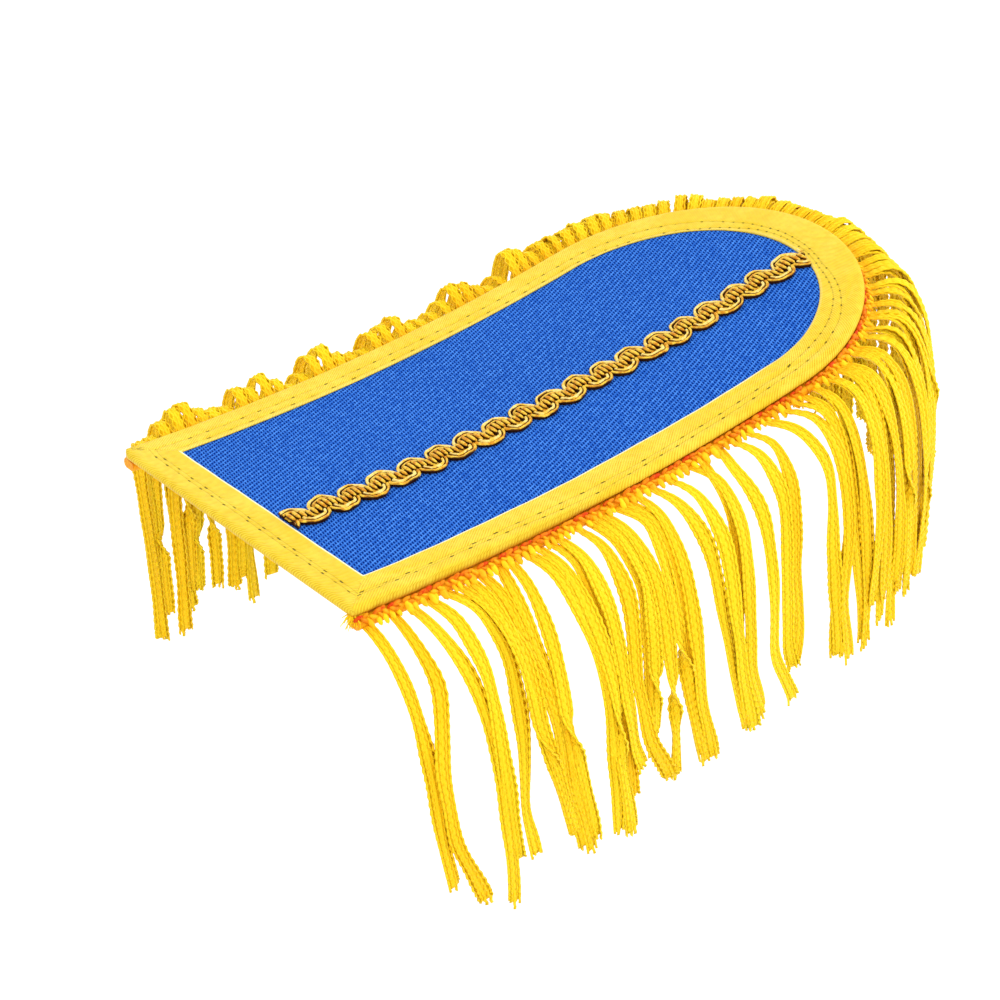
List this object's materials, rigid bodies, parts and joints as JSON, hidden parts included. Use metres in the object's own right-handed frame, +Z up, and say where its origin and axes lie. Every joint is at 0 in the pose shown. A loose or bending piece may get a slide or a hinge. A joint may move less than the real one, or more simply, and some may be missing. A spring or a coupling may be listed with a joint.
{
  "type": "fringed dress epaulette",
  "caption": "Tongue-shaped cloth shoulder board with folded tape binding, a scalloped braid and a hanging yarn fringe on three sides.",
  "frame": {"origin": "middle of the board's underside, at half the length on the centre line, where it is pinned on the shoulder", "axes": "+X from the square end to the round tip, +Y towards the far long side, +Z up, opposite to the way the fringe hangs"},
  "size_m": [0.1596, 0.1129, 0.0755],
  "materials": {
    "board_cloth": "royal-blue plain-woven canvas, cut on the bias, matt with light threads and dark gaps",
    "binding_tape": "yellow satin-faced folded tape with fine slanting ribs and two rows of stitches",
    "gimp_gold": "old-gold lustrous yarn wound over cords, darker orange between the cords",
    "fringe_yarn": "vivid yellow knitted chainette yarn, slightly glossy, orange in the shade of the header",
    "pin_steel": "plain nickelled steel"
  },
  "bodies": {
    "root": {"board": "board_cloth", "binding": "binding_tape", "gimp_braid": "gimp_gold", "fringe_near": "fringe_yarn", "fringe_tip": "fringe_yarn", "fringe_far": "fringe_yarn", "pin": "pin_steel"}
  },
  "joints": []
}
